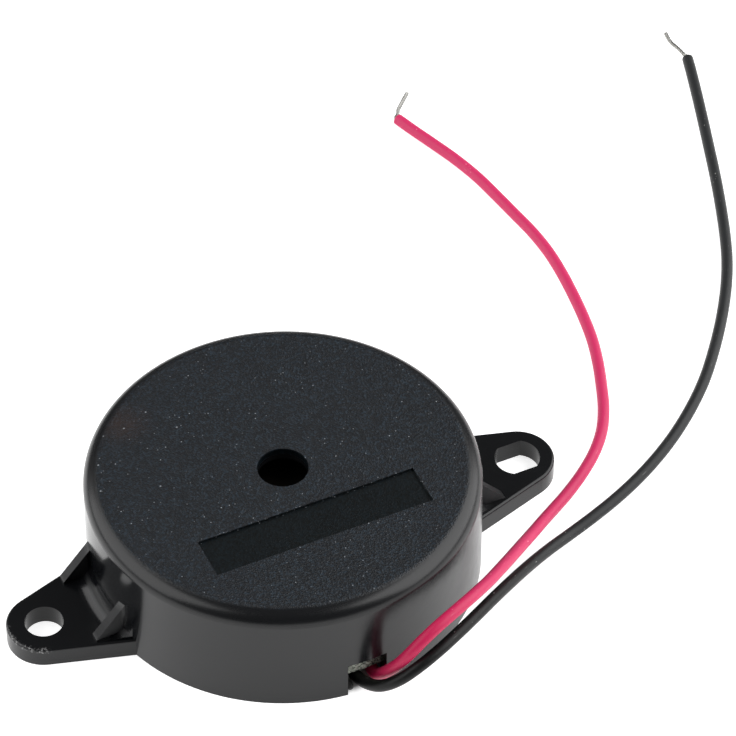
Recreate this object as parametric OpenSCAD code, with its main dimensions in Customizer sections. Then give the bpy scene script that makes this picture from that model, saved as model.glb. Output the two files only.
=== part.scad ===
// Piezo buzzer with its own driver circuit, in a round moulded case with two
// screw ears and two soft leads.
// Millimetres, +Z up. The origin is the centre of the case's open base: X runs
// along the two ears and the leads come out of a notch on the -Y side.

/* [Case] */
// Outside diameter of the round case
case_d = 41.8; // [40.5:0.1:46]
// Height of the case, base to top
case_h = 13.3; // [12.8:0.1:18]
// Thickness of the side wall
wall_t = 1.5; // [1.2:0.1:1.7]
// Thickness of the top
top_t = 1.5; // [1.2:0.1:2]
// Radius of the outside edge of the top
top_edge_r = 1.7; // [0.5:0.1:1.8]
// Diameter of the sound hole
sound_hole_d = 5.4; // [3:0.1:8]

/* [Sunk plate on the top] */
// Length of the plate, along the ears
plate_l = 24.5; // [18:0.5:26]
// Width of the plate
plate_w = 5; // [3:0.1:6]
// Depth of the plate's floor under the top
plate_depth = 0.3; // [0.1:0.05:0.5]
// Distance of the plate's middle from the sound hole's middle
plate_offset = 8.3; // [7.5:0.1:10]

/* [Lead notch] */
// Width of the notch in the wall
notch_w = 4.4; // [4.2:0.1:6]
// Height of the notch above the base
notch_h = 4.5; // [3.2:0.1:6]

/* [Ears] */
// Distance between the two screw holes
hole_pitch = 55; // [52:0.1:60]
// Diameter of the screw hole and width of the slot
screw_hole_d = 4.1; // [3.2:0.1:4.6]
// How much longer than wide the slot is
slot_travel = 0.8; // [0.2:0.1:1.5]
// Radius of the round tip of an ear
ear_tip_r = 4; // [3.8:0.1:5]
// Thickness of an ear
ear_t = 2.3; // [1.5:0.1:3]
// How fast each side of an ear widens towards the case
ear_taper = 0.3; // [0.1:0.01:0.4]
// Radius of an ear's top edge
ear_edge_r = 0.3; // [0.1:0.05:0.5]
// Radius of the fillet between an ear and the wall
root_fillet_r = 1.9; // [0.4:0.1:2.2]
// Thickness of a gusset
gusset_t = 1.05; // [0.8:0.05:1.4]
// Clear space between the two gussets of an ear
gusset_gap = 7.8; // [6:0.1:8.2]
// Rise of a gusset along the wall
gusset_h = 4; // [2.5:0.1:6]
// Reach of a gusset out from the wall
gusset_run = 2.75; // [1.8:0.05:3]

/* [Sounder] */
// Width of the moulded rim round the brass diaphragm
rim_w = 1.75; // [1.3:0.05:2.5]
// Thickness of the brass diaphragm
diaphragm_t = 0.3; // [0.15:0.05:0.4]
// Diameter of the ceramic disc
ceramic_d = 25; // [22:0.5:27]
// Thickness of the ceramic disc
ceramic_t = 0.25; // [0.15:0.05:0.4]
// Thickness of the silver electrodes
electrode_t = 0.05; // [0.03:0.01:0.08]
// Depth of the air chamber between the diaphragm and the top
chamber_h = 1.5; // [1:0.1:1.8]
// Width of the seat under the diaphragm's edge
seat_w = 1.2; // [0.8:0.1:2]

/* [Circuit board] */
// Thickness of the board
board_t = 1.6; // [0.8:0.1:1.6]
// Distance from the base up to the board's soldered side
board_recess = 1.4; // [1.3:0.05:1.8]
// Thickness of the copper tracks
copper_t = 0.05; // [0.03:0.01:0.07]
// Width of a copper track
track_w = 0.8; // [0.5:0.1:1]
// Height of a soldered joint
joint_h = 0.7; // [0.5:0.05:0.9]

/* [Components] */
// Diameter of a resistor's end caps
resistor_d = 2.3; // [1.7:0.1:2.5]
// Length of a resistor's body
resistor_l = 6.3; // [3.6:0.1:6.6]
// Diameter of the transistor's case
transistor_d = 4.6; // [4:0.1:5]
// Height of the transistor's case
transistor_h = 4.5; // [3.6:0.1:4.7]
// Diameter of the choke's flanges
choke_d = 6; // [5.8:0.1:6.4]
// Height of the choke
choke_h = 4.6; // [3.8:0.1:5]
// Diameter of the diode's glass body
diode_d = 1.8; // [1.5:0.1:2]
// Length of the diode's glass body
diode_l = 3.9; // [3.2:0.1:4.4]
// Diameter of the components' wires
pin_d = 0.5; // [0.4:0.05:0.6]
// Diameter of the three fine wires to the sounder
hookup_d = 0.6; // [0.5:0.05:0.8]

/* [Leads] */
// Outside diameter of a lead
lead_d = 1.3; // [1:0.05:1.35]
// Diameter of the stranded conductor inside it
conductor_d = 0.5; // [0.4:0.05:0.6]
// Diameter of one strand
strand_d = 0.16; // [0.14:0.01:0.2]

/* [Hidden] */
$fn = 96;

function unit(v) = v / norm(v);

// Clearances
board_gap = 0.1;       // board to wall, all round
diaphragm_gap = 0.15;  // diaphragm to its locating rim, all round
hole_gap = 0.15;       // wire to the hole that it passes through
part_gap = 0.05;       // component body to board
sounder_gap = 0.6;     // transistor to the electrode above it
eps = 0.01;

// Case
case_r = case_d / 2;
inner_r = case_r - wall_t;
mid_wall_r = case_r - wall_t / 2;
ceiling_z = case_h - top_t;
inner_edge_r = 0.5;

// Ears: each side is tangent to the tip's circle
ear_x = hole_pitch / 2;
ear_angle = atan(ear_taper);
ear_shoulder = 0.1;    // flat between an ear's rounded edge and its root fillet
gusset_y = gusset_gap / 2;
gusset_foot = 0.25;

// Sounder, from the top down
rim_r = inner_r - rim_w;
diaphragm_r = rim_r - diaphragm_gap;
seat_z = ceiling_z - chamber_h;
seat_r = diaphragm_r - seat_w;
plate_z = seat_z - diaphragm_t;
ceramic_z = plate_z - ceramic_t;
electrode_z = ceramic_z - electrode_t;
rim_lap = 0.3;         // how far the rim reaches below the diaphragm
rim_z = plate_z - rim_lap;
bead_lap = 0.8;        // how far the bead of adhesive covers the diaphragm
bead_foot = 0.3;       // how far the bead reaches out under the rim
bead_swell = 0.35;     // how far the bead stands down from the rim
bead_soft = 0.15;      // how much the bead's lower edges are rounded off
bead_z = rim_z - bead_swell;
margin = 0.5;          // bare ceramic round the electrodes
tongue_w = 4;          // feedback electrode
tongue_l = 5;
tongue_gap = 0.5;
dot_r = 0.8;           // soldered dots on the electrodes
dot_tip_r = 0.48;
dot_h = 0.45;
dot_cover = 0.135;     // solder left between a wire's end and the electrode

// Circuit board
board_r = inner_r - board_gap;
board_z = board_recess;
board_top = board_z + board_t;
copper_z = board_z - copper_t;
stop_angles = [45, 135, 225, 315];
stop_w = 2;
stop_depth = 1.35;
glue_r = 1.1;
glue_span = 26;

// Places on the board: [x, y] of each wire's hole
resistor_span = 10.16;
diode_span = 7.62;
choke_pitch = 5;
transistor_pitch = 1.27;
transistor_at = [-2, 4];
choke_at = [6.5, 5];
bias_at = [3.08, -0.4];
feedback_at = [-7.08, 10];
diode_at = [11, -4.21];
emitter = transistor_at - [transistor_pitch, 0];
base = transistor_at;
collector = transistor_at + [transistor_pitch, 0];
choke_in = choke_at + [choke_pitch / 2, 0];
choke_out = choke_at - [choke_pitch / 2, 0];
bias_base = bias_at - [resistor_span / 2, 0];
bias_supply = bias_at + [resistor_span / 2, 0];
feedback_base = feedback_at + [resistor_span / 2, 0];
feedback_far = feedback_at - [resistor_span / 2, 0];
diode_supply = diode_at + [0, diode_span / 2];
diode_in = diode_at - [0, diode_span / 2];
main_pad = [1.6, 8.5];
feedback_pad = [-12.16, 4];
ground_pad = [-8, -3];
ground_corner = [-6, 1.5];
ground_low = [-6, -7.5];

// Heights of the components' middles or undersides
resistor_z = board_top + resistor_d / 2 + part_gap;
diode_z = board_top + diode_d / 2 + part_gap;
transistor_z = electrode_z - sounder_gap - transistor_h;
choke_z = board_top + part_gap;
flange_t = 0.8;        // choke
choke_waist_d = choke_d * 0.45;
winding_depth = 0.4;   // how far the winding lies inside the flanges' edge

// Places on the sounder where the three fine wires are soldered
main_dot = [3.6, 9.6];
feedback_dot = [-ceramic_d / 2 + margin + tongue_l / 2, 0];
ground_dot_r = (ceramic_d / 2 + seat_r) / 2;
ground_dot_angle = 198;
ground_dot = ground_dot_r * [cos(ground_dot_angle), sin(ground_dot_angle)];

// Soldered joints: [place, wire diameter, pad radius]
fine_joint_r = 0.52;
joint_r = 0.9;
joint_tip = 0.1;       // solder round the wire at the joint's tip
pad_edge = 0.05;       // copper that shows round a joint
JOINTS = [
    [emitter, pin_d, fine_joint_r],
    [base, pin_d, fine_joint_r],
    [collector, pin_d, fine_joint_r],
    [choke_in, pin_d, joint_r],
    [choke_out, pin_d, joint_r],
    [bias_base, pin_d, joint_r],
    [bias_supply, pin_d, joint_r],
    [feedback_base, pin_d, joint_r],
    [feedback_far, pin_d, joint_r],
    [diode_in, pin_d, joint_r],
    [diode_supply, pin_d, joint_r],
    [main_pad, hookup_d, joint_r],
    [feedback_pad, hookup_d, joint_r],
    [ground_pad, hookup_d, joint_r]
];
pin_end = 0.2;         // how far a wire comes out of its joint

// Leads: the routes' points lie on the middle of each lead. Both start under
// the board, pass out of the notch and turn towards +X.
low = 0.65;
lead_sides = 8;
lead_pad_r = 1.5;
lead_pad_edge = 0.2;   // copper that shows round a lead's joint
mound_h = 1.1;
root_l = 2.6;          // bare conductor at the soldered end
root_tip = 0.8;        // part of it past the middle of its pad
mound_tip_r = 0.68;    // top of the mound of solder on it
dab_r = 0.4;           // dab of adhesive in the notch
dab_gap = 0.02;
dab_out = 0.9;         // reach of the dab out through the wall
dab_in = 0.8;          // and in under the board
dab_droop = 0.3;
BLACK_ROUTE = [
    [-1.6, -12.4, low], [-1.3, -15, low], [-0.9, -17.4, low], [-0.6, -19.2, low],
    [-0.2, -21.2, 1.3], [0.5, -23, 2.6], [1.9, -24.3, 4.2], [4, -24.8, 5.7],
    [6.8, -24.1, 6.5], [9.6, -22.7, 6.4], [12.4, -21.2, 6.1], [15, -19.5, 5.4],
    [17.7, -17.6, 4.4], [20.3, -15.7, 3.2], [22.8, -14, 2.1], [25.5, -12.4, 1.1],
    [28.4, -11.1, low], [31.8, -9.9, low], [35.2, -8.5, low], [38.4, -7, low],
    [41.4, -5.4, low], [44.3, -3.5, low], [47, -1.4, low], [49.7, 0.9, low],
    [52.2, 3.4, low], [54.6, 6.1, low], [57, 9.1, low], [59.2, 12.2, low],
    [61.2, 15.3, low], [62.9, 18.5, low], [64.4, 21.7, low], [65.8, 25.1, low],
    [67.1, 28.5, low], [68.4, 32, low], [69.6, 35.5, low], [70.8, 39, low],
    [72, 42.5, low], [73.1, 45.8, low], [73.9, 48.5, low], [74.4, 50.5, low]
];
RED_ROUTE = [
    [2.2, -12.4, low], [1.9, -14.6, low], [1.5, -16.8, low], [1.3, -18.8, low],
    [1.3, -20, 0.95], [1.5, -20.9, 1.7], [1.65, -21.65, 2.7], [2.2, -22.4, 4],
    [2.7, -23.2, 5.5], [3.4, -23.8, 6.9], [4.7, -23.9, 8.3], [6.8, -23.5, 9.2],
    [9, -22.5, 9.3], [11, -21.3, 9], [13, -20.1, 8.4], [14.9, -18.8, 7.7],
    [16.7, -17.4, 7], [18.5, -16, 6.1], [20.2, -14.5, 5.3], [21.9, -13.1, 4.4],
    [23.5, -11.6, 3.5], [25.2, -10.1, 2.6], [26.9, -8.6, 1.8], [28.7, -7.2, 1.1],
    [30.6, -5.8, low], [33.7, -3.6, low], [36.2, -1.4, low], [38.2, 1.1, low],
    [40, 4, low], [41.4, 7.1, low], [42.6, 10.4, low], [43.6, 13.8, low],
    [44.3, 17.4, low], [44.8, 21, low], [45.2, 24.6, low], [45.3, 28.2, low],
    [45.1, 31.8, low], [44.6, 35.2, low], [44, 38.7, low], [43.4, 42.2, low],
    [42.4, 46, low], [41.2, 49.8, low], [40.2, 52.6, low], [39.3, 55, low]
];

// Middle of the pad on which the start of a route is soldered
function pad_place(route) =
    let (p = route[0] + (root_l - root_tip) * unit(route[0] - route[1])) [p[0], p[1]];
black_lead_pad = pad_place(BLACK_ROUTE);
red_lead_pad = pad_place(RED_ROUTE);

// Bared ends: the middle of each bundle of strands, from the end of its lead
BLACK_END = [
    [74.5, 51.5, low], [74.4, 52.7, 0.6], [74.2, 54, 0.5], [74.1, 55.2, 0.4]
];
RED_END = [
    [39.3, 55.7, low], [39.6, 56.3, low], [40.2, 56.9, low], [41.1, 57.7, 0.6],
    [42.2, 58.7, 0.4]
];
strand_count = 7;      // one in the middle and six round it
strand_gap = 0.05;     // strand to the end of the insulation
strand_start = 0.3;    // straight length before the bundle's first point
strand_twist = 35;     // turn of the bundle from each point to the next
bundle_r = strand_d * 1.25;
fray = 0.8;            // how much wider the bundle is at its tip

// ---- Shared shapes ----

// A box from one corner to the other
module block(a, b) {
    translate(a) cube(b - a);
}

// A flat strip with round ends from a to b, in 2D
module strip(a, b, w) {
    run = b - a;
    translate(a) {
        circle(d = w);
        rotate(atan2(run[1], run[0])) translate([0, -w / 2]) square([norm(run), w]);
    }
    translate(b) circle(d = w);
}

// Direction of a route at its point i
function heading(route, i) =
    unit(route[min(i + 1, len(route) - 1)] - route[max(i - 1, 0)]);

// One ring of a tube, square to the heading t; side is a level or given direction
function ring(at, t, side, r, sides) =
    let (across = unit(side - (side * t) * t), over = cross(across, t))
    [for (k = [0 : sides - 1])
        let (a = (k + 0.5) * 360 / sides) at + r * (cos(a) * across + sin(a) * over)];

// A round tube along a route, as one closed solid
module tube(route, d, sides, side = undef) {
    rings = [for (i = [0 : len(route) - 1])
        let (t = heading(route, i), s = is_undef(side) ? cross(t, [0, 0, 1]) : side)
        each ring(route[i], t, s, d / 2, sides)];
    last = (len(route) - 1) * sides;
    polyhedron(points = rings, faces = concat(
        [[for (k = [sides - 1 : -1 : 0]) k]],
        [for (i = [0 : len(route) - 2], k = [0 : sides - 1])
            let (a = i * sides + k, b = i * sides + (k + 1) % sides)
            each [[a, b, a + sides], [b, b + sides, a + sides]]],
        [[for (k = [0 : sides - 1]) last + k]]
    ));
}

// ---- Case ----

module case_profile() {
    difference() {
        union() {
            square([case_r - top_edge_r, case_h]);
            square([case_r, case_h - top_edge_r]);
            translate([case_r - top_edge_r, case_h - top_edge_r]) circle(top_edge_r);
        }
        union() {
            translate([-eps, -1]) square([seat_r + eps, ceiling_z + 1 - inner_edge_r]);
            translate([-eps, -1]) square([seat_r - inner_edge_r + eps, ceiling_z + 1]);
            translate([seat_r - inner_edge_r, ceiling_z - inner_edge_r]) circle(inner_edge_r);
            translate([-eps, -1]) square([rim_r + eps, seat_z + 1]);
            translate([-eps, -1]) square([inner_r + eps, rim_z + 1]);
        }
    }
}

// Outline of the +X ear from the wall to its tip, inside its rounded edges
module ear_web() {
    r = ear_tip_r - ear_edge_r - ear_shoulder;
    tangent = [ear_x + r * sin(ear_angle), r * cos(ear_angle)];
    root_y = tangent[1] + ear_taper * (tangent[0] - inner_r);
    polygon([[inner_r, -root_y], [tangent[0], -tangent[1]], tangent, [inner_r, root_y]]);
}

// Section of an ear from the middle of its tip out to its rounded edge
module ear_edge() {
    r = ear_tip_r - ear_edge_r;
    square([r, ear_t]);
    square([ear_tip_r, ear_t - ear_edge_r]);
    translate([r, ear_t - ear_edge_r]) circle(ear_edge_r);
}

// The round tip and the two straight sides of the +X ear
module ear_rim() {
    side_l = (ear_x + ear_tip_r * sin(ear_angle) - inner_r) / cos(ear_angle);
    translate([ear_x, 0, 0]) {
        rotate_extrude() ear_edge();
        for (flip = [0, 1]) mirror([0, flip, 0])
            rotate([90, 0, 90 - ear_angle]) translate([0, 0, -side_l])
                linear_extrude(side_l) ear_edge();
    }
}

// Section of an ear and of the fillet that joins it to the wall
module ear_profile() {
    blend = root_fillet_r;
    bite = 0.02;
    translate([mid_wall_r, 0]) square([ear_x + ear_tip_r + 1 - mid_wall_r, ear_t]);
    difference() {
        translate([mid_wall_r, ear_t / 2])
            square([case_r + blend - bite - mid_wall_r, ear_t / 2 + blend]);
        translate([case_r + blend - bite, ear_t + blend]) circle(blend);
    }
}

// One gusset of the +X ear, standing on the ear and leaning on the wall
module gusset() {
    wall_x = sqrt(pow(mid_wall_r, 2) - pow(gusset_y + gusset_t, 2));
    face_x = sqrt(pow(case_r, 2) - pow(gusset_y + gusset_t / 2, 2));
    foot_x = case_r + gusset_run;
    slope = (gusset_h - gusset_foot) / (foot_x - face_x);
    translate([0, gusset_y + gusset_t, 0]) rotate([90, 0, 0]) linear_extrude(gusset_t)
        polygon([
            [wall_x, ear_t / 2],
            [foot_x, ear_t / 2],
            [foot_x, ear_t + gusset_foot],
            [wall_x, ear_t + gusset_foot + slope * (foot_x - wall_x)]
        ]);
}

module ear() {
    intersection() {
        linear_extrude(ear_t + root_fillet_r) ear_web();
        rotate_extrude() ear_profile();
    }
    intersection() {
        ear_rim();
        rotate_extrude() translate([mid_wall_r, -1]) square([hole_pitch, ear_t + 2]);
    }
    gusset();
    mirror([0, 1, 0]) gusset();
}

// Post moulded inside the wall, on which the board's edge rests
module board_stop() {
    block([inner_r - stop_depth, -stop_w / 2, board_top],
          [inner_r + wall_t / 2, stop_w / 2, rim_z + eps]);
}

// Round hole with two flats, so that it is longer along X than across
module screw_slot() {
    slot_l = screw_hole_d + slot_travel;
    translate([ear_x, 0, -1]) intersection() {
        cylinder(d = slot_l, h = ear_t + 2);
        block([-slot_l, -screw_hole_d / 2, 0], [slot_l, screw_hole_d / 2, ear_t + 2]);
    }
}

module case() {
    color([0.13, 0.14, 0.15]) difference() {
        union() {
            rotate_extrude() case_profile();
            ear();
            mirror([1, 0, 0]) ear();
            for (a = stop_angles) rotate(a) board_stop();
        }
        translate([0, 0, ceiling_z - 1]) cylinder(d = sound_hole_d, h = top_t + 2);
        translate([-ear_x, 0, -1]) cylinder(d = screw_hole_d, h = ear_t + 2);
        screw_slot();
        block([-plate_l / 2, -plate_offset - plate_w / 2, case_h - plate_depth],
              [plate_l / 2, -plate_offset + plate_w / 2, case_h + 1]);
        block([-notch_w / 2, -case_r - 1, -1], [notch_w / 2, -inner_r + 2, notch_h]);
    }
}

// ---- Sounder ----

module diaphragm_plate() {
    color([0.8, 0.66, 0.32]) translate([0, 0, plate_z]) cylinder(r = diaphragm_r, h = diaphragm_t);
}

module piezo_ceramic() {
    color([0.85, 0.83, 0.74]) translate([0, 0, ceramic_z]) cylinder(d = ceramic_d, h = ceramic_t);
}

// Outline of the feedback electrode, a tongue from the ceramic's edge; grow widens it
module tongue(grow) {
    end_x = -ceramic_d / 2 + margin + tongue_l - tongue_w / 2;
    w = tongue_w + 2 * grow;
    translate([end_x, 0]) circle(d = w);
    translate([-ceramic_d, -w / 2]) square([ceramic_d + end_x, w]);
}

module main_electrode() {
    color([0.78, 0.78, 0.76]) translate([0, 0, electrode_z]) linear_extrude(electrode_t)
        difference() {
            circle(ceramic_d / 2 - margin);
            tongue(tongue_gap);
        }
}

module feedback_electrode() {
    color([0.78, 0.78, 0.76]) translate([0, 0, electrode_z]) linear_extrude(electrode_t)
        intersection() {
            circle(ceramic_d / 2 - margin);
            tongue(0);
        }
}

// Bead of silicone that holds the diaphragm's edge on its seat
module diaphragm_adhesive() {
    color([0.9, 0.9, 0.88]) rotate_extrude() polygon([
        [diaphragm_r - bead_lap, plate_z],
        [diaphragm_r, plate_z],
        [diaphragm_r, seat_z],
        [rim_r, seat_z],
        [rim_r, rim_z],
        [rim_r + bead_foot, rim_z],
        [rim_r + bead_foot - bead_soft, bead_z],
        [diaphragm_r - bead_lap + bead_soft, bead_z + bead_soft]
    ]);
}

// One dot of solder that hangs from height z, bored for the wire's end
module solder_dot(at, z) {
    translate([at[0], at[1], z - dot_h]) difference() {
        cylinder(r1 = dot_tip_r, r2 = dot_r, h = dot_h);
        translate([0, 0, -1]) cylinder(d = hookup_d, h = 1 + dot_h - dot_cover);
    }
}

module sounder_solder_dots() {
    color([0.7, 0.7, 0.7]) {
        solder_dot(main_dot, electrode_z);
        solder_dot(feedback_dot, electrode_z);
        solder_dot(ground_dot, plate_z);
    }
}

// Fine wire from a dot on the sounder, at height z, down through the board
module hookup_wire(dot, pad, z) {
    high = z - dot_cover - eps;
    deep = copper_z - joint_h - pin_end;
    drop = 0.8;            // straight length at each end
    flat_side = [0.2, 0.98, 0];
    a = [dot[0], dot[1], high];
    d = [pad[0], pad[1], board_top + drop];
    b = a - [0, 0, drop];
    bend = [for (t = [0.15 : 0.14 : 0.86]) b + (d - b) * t
        + [0, 0, (b[2] - d[2]) * (t - (t < 0.5 ? 2 * t * t : 1 - 2 * pow(1 - t, 2)))]];
    tube(concat([a, b], bend, [d, [pad[0], pad[1], deep]]), hookup_d, 8, flat_side);
}

module main_wire() { color([0.8, 0.2, 0.2]) hookup_wire(main_dot, main_pad, electrode_z); }

module feedback_wire() { color([0.2, 0.4, 0.8]) hookup_wire(feedback_dot, feedback_pad, electrode_z); }

module ground_wire() { color([0.1, 0.1, 0.1]) hookup_wire(ground_dot, ground_pad, plate_z); }

// ---- Circuit board ----

module circuit_board() {
    color([0.45, 0.5, 0.42]) difference() {
        translate([0, 0, board_z]) cylinder(r = board_r, h = board_t);
        for (j = JOINTS) translate([j[0][0], j[0][1], board_z - 1])
            cylinder(d = j[1] + 2 * hole_gap, h = board_t + 2, $fn = 32);
    }
}

module copper_tracks() {
    color([0.72, 0.45, 0.2]) translate([0, 0, copper_z]) linear_extrude(copper_t) difference() {
        union() {
            for (j = JOINTS) translate(j[0]) circle(j[2] + pad_edge, $fn = 32);
            for (p = [black_lead_pad, red_lead_pad]) translate(p) circle(lead_pad_r + lead_pad_edge, $fn = 32);
            strip(red_lead_pad, diode_in, track_w);
            strip(diode_supply, bias_supply, track_w);
            strip(diode_supply, choke_in, track_w);
            strip(choke_out, collector, track_w);
            strip(collector, main_pad, track_w);
            strip(base, bias_base, track_w);
            strip(base, feedback_base, track_w);
            strip(feedback_far, feedback_pad, track_w);
            strip(emitter, ground_corner, track_w);
            strip(ground_corner, ground_low, track_w);
            strip(ground_pad, ground_corner, track_w);
            strip(ground_low, black_lead_pad, track_w);
        }
        for (j = JOINTS) translate(j[0]) circle(d = j[1] + 2 * hole_gap, $fn = 32);
    }
}

module board_solder_joints() {
    color([0.7, 0.7, 0.7]) for (j = JOINTS)
        translate([j[0][0], j[0][1], copper_z - joint_h]) difference() {
            cylinder(r1 = j[1] / 2 + joint_tip, r2 = j[2], h = joint_h, $fn = 32);
            translate([0, 0, -1]) cylinder(d = j[1], h = joint_h + 2, $fn = 32);
        }
}

// Beads of adhesive between the board's edge and the wall, under the stops
module board_adhesive() {
    color([0.75, 0.73, 0.6]) for (a = stop_angles) rotate(a - glue_span / 2)
        rotate_extrude(angle = glue_span) translate([inner_r, board_z]) intersection() {
            circle(glue_r);
            translate([-glue_r, -glue_r]) square(glue_r);
        }
}

// ---- Components ----

// Straight wire down through the board from height z
module pin(at, z) {
    deep = copper_z - joint_h - pin_end;
    translate([at[0], at[1], deep]) cylinder(d = pin_d, h = z - deep, $fn = 32);
}

// Two bent wires of a part that lies along X, with its middle at height z
module bent_wires(body_l, span, z) {
    bend_r = 0.8;
    for (side = [0, 1]) mirror([side, 0, 0]) {
        translate([body_l / 2, 0, z]) rotate([0, 90, 0])
            cylinder(d = pin_d, h = span / 2 - bend_r - body_l / 2, $fn = 32);
        translate([span / 2 - bend_r, 0, z - bend_r]) rotate([90, 0, 0])
            rotate_extrude(angle = 90, $fn = 32) translate([bend_r, 0]) circle(d = pin_d, $fn = 32);
        pin([span / 2, 0], z - bend_r);
    }
}

module resistor_shape() {
    cap_l = resistor_l * 0.24;
    waist_r = resistor_d / 2 - 0.2;
    soft = 0.35;
    rotate([0, 90, 0]) rotate_extrude($fn = 48) {
        translate([0, -resistor_l / 2 + soft]) square([waist_r, resistor_l - 2 * soft]);
        for (side = [0, 1]) mirror([0, side]) translate([0, resistor_l / 2]) {
            translate([0, -cap_l]) square([resistor_d / 2, cap_l - soft]);
            translate([0, -soft - eps]) square([resistor_d / 2 - soft, soft + eps]);
            translate([resistor_d / 2 - soft, -soft]) circle(soft);
        }
    }
}

module bias_resistor_body() {
    color([0.35, 0.6, 0.75]) translate([bias_at[0], bias_at[1], resistor_z]) resistor_shape();
}

module bias_resistor_wires() {
    color([0.75, 0.75, 0.75]) translate([bias_at[0], bias_at[1], 0])
        bent_wires(resistor_l, resistor_span, resistor_z);
}

module feedback_resistor_body() {
    color([0.35, 0.6, 0.75]) translate([feedback_at[0], feedback_at[1], resistor_z]) resistor_shape();
}

module feedback_resistor_wires() {
    color([0.75, 0.75, 0.75]) translate([feedback_at[0], feedback_at[1], 0])
        bent_wires(resistor_l, resistor_span, resistor_z);
}

module diode_body() {
    soft = 0.4;
    color([0.85, 0.5, 0.25]) translate([diode_at[0], diode_at[1], diode_z])
        rotate([0, 90, 90]) translate([0, 0, -diode_l / 2]) rotate_extrude($fn = 48) {
            square([diode_d / 2 - soft, diode_l]);
            translate([0, soft]) square([diode_d / 2, diode_l - 2 * soft]);
            for (y = [soft, diode_l - soft]) translate([diode_d / 2 - soft, y]) circle(soft);
        }
}

module diode_wires() {
    color([0.75, 0.75, 0.75]) translate([diode_at[0], diode_at[1], 0]) rotate(90)
        bent_wires(diode_l, diode_span, diode_z);
}

module transistor_body() {
    flat_y = -transistor_d * 0.28;
    color([0.12, 0.12, 0.12]) translate([transistor_at[0], transistor_at[1], transistor_z])
        intersection() {
            cylinder(d = transistor_d, h = transistor_h, $fn = 48);
            block([-transistor_d, flat_y, -1], [transistor_d, transistor_d, transistor_h + 1]);
        }
}

module transistor_pins() {
    color([0.75, 0.75, 0.75]) for (at = [emitter, base, collector]) pin(at, transistor_z);
}

module choke_core() {
    color([0.2, 0.2, 0.21]) translate([choke_at[0], choke_at[1], choke_z]) {
        cylinder(d = choke_d, h = flange_t);
        cylinder(d = choke_waist_d, h = choke_h);
        translate([0, 0, choke_h - flange_t]) cylinder(d = choke_d, h = flange_t);
    }
}

module choke_winding() {
    color([0.7, 0.35, 0.15]) translate([choke_at[0], choke_at[1], choke_z + flange_t])
        difference() {
            cylinder(d = choke_d - 2 * winding_depth, h = choke_h - 2 * flange_t);
            translate([0, 0, -1]) cylinder(d = choke_waist_d, h = choke_h);
        }
}

module choke_pins() {
    color([0.75, 0.75, 0.75]) for (at = [choke_in, choke_out]) pin(at, choke_z);
}

// ---- Leads ----

// Bare conductor from the start of a route back into its soldered joint
module root(route) {
    back = unit(route[0] - route[1]);
    translate(route[0]) rotate([0, 90, atan2(back[1], back[0])])
        cylinder(d = conductor_d, h = root_l, $fn = 32);
}

module black_lead() { color([0.13, 0.13, 0.14]) tube(BLACK_ROUTE, lead_d, lead_sides); }

module red_lead() { color([0.85, 0.12, 0.35]) tube(RED_ROUTE, lead_d, lead_sides); }

module black_lead_root() { color([0.75, 0.75, 0.75]) root(BLACK_ROUTE); }

module red_lead_root() { color([0.75, 0.75, 0.75]) root(RED_ROUTE); }

// Strand k of a bundle that starts square to the end of a lead
module strand(route, bundle, k) {
    end = route[len(route) - 1];
    ahead = unit(end - route[len(route) - 2]);
    middle = concat([end + strand_gap * ahead, end + strand_start * ahead], bundle);
    tube([for (i = [0 : len(middle) - 1])
        let (
            t = i < 2 ? ahead : heading(middle, i),
            across = unit(cross(t, [0, 0, 1])),
            over = cross(across, t),
            a = k * 60 + max(i - 1, 0) * strand_twist,
            r = k == 0 ? 0 : bundle_r * (1 + fray * pow(i / (len(middle) - 1), 3))
        )
        middle[i] + r * (cos(a) * across + sin(a) * over)], strand_d, 6);
}

module black_lead_strands() {
    color([0.75, 0.75, 0.75]) for (k = [0 : strand_count - 1]) strand(BLACK_ROUTE, BLACK_END, k);
}

module red_lead_strands() {
    color([0.75, 0.75, 0.75]) for (k = [0 : strand_count - 1]) strand(RED_ROUTE, RED_END, k);
}

// Mounds of solder that hold the two roots on their pads
module lead_solder_joints() {
    color([0.7, 0.7, 0.7]) difference() {
        for (p = [black_lead_pad, red_lead_pad]) translate([p[0], p[1], copper_z - mound_h])
            cylinder(r1 = mound_tip_r, r2 = lead_pad_r, h = mound_h, $fn = 48);
        black_lead_root();
        red_lead_root();
    }
}

// Dab of adhesive in the notch, beside the black lead and under the board
module lead_adhesive() {
    left = -notch_w / 2 + dab_r + dab_gap;
    high = board_z - dab_r - dab_gap;
    color([0.1, 0.1, 0.09]) hull() {
        translate([left, -inner_r - dab_out, high - dab_droop]) sphere(dab_r, $fn = 16);
        translate([left, -inner_r + dab_in, high]) sphere(dab_r, $fn = 16);
    }
}

case();
diaphragm_plate();
piezo_ceramic();
main_electrode();
feedback_electrode();
diaphragm_adhesive();
sounder_solder_dots();
main_wire();
feedback_wire();
ground_wire();
circuit_board();
copper_tracks();
board_solder_joints();
board_adhesive();
transistor_body();
transistor_pins();
choke_core();
choke_winding();
choke_pins();
bias_resistor_body();
bias_resistor_wires();
feedback_resistor_body();
feedback_resistor_wires();
diode_body();
diode_wires();
lead_solder_joints();
lead_adhesive();
black_lead();
black_lead_root();
black_lead_strands();
red_lead();
red_lead_root();
red_lead_strands();
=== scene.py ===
# %% [markdown]
# # A piezo buzzer: dressing the solid model
#
# This buzzer is a round moulded case on two screw ears. A brass diaphragm with
# a ceramic disc sounds inside it, a small circuit board closes it from below,
# and a red and a black lead come out of a notch in its side. The solids come
# from the CAD model and keep their places. This lesson gives them their
# finishes, and makes again what a solid model leaves plain: the two leads,
# their stranded ends, and the moulded skin of the case.

# %% Load the solid model
import math
from types import SimpleNamespace

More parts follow.
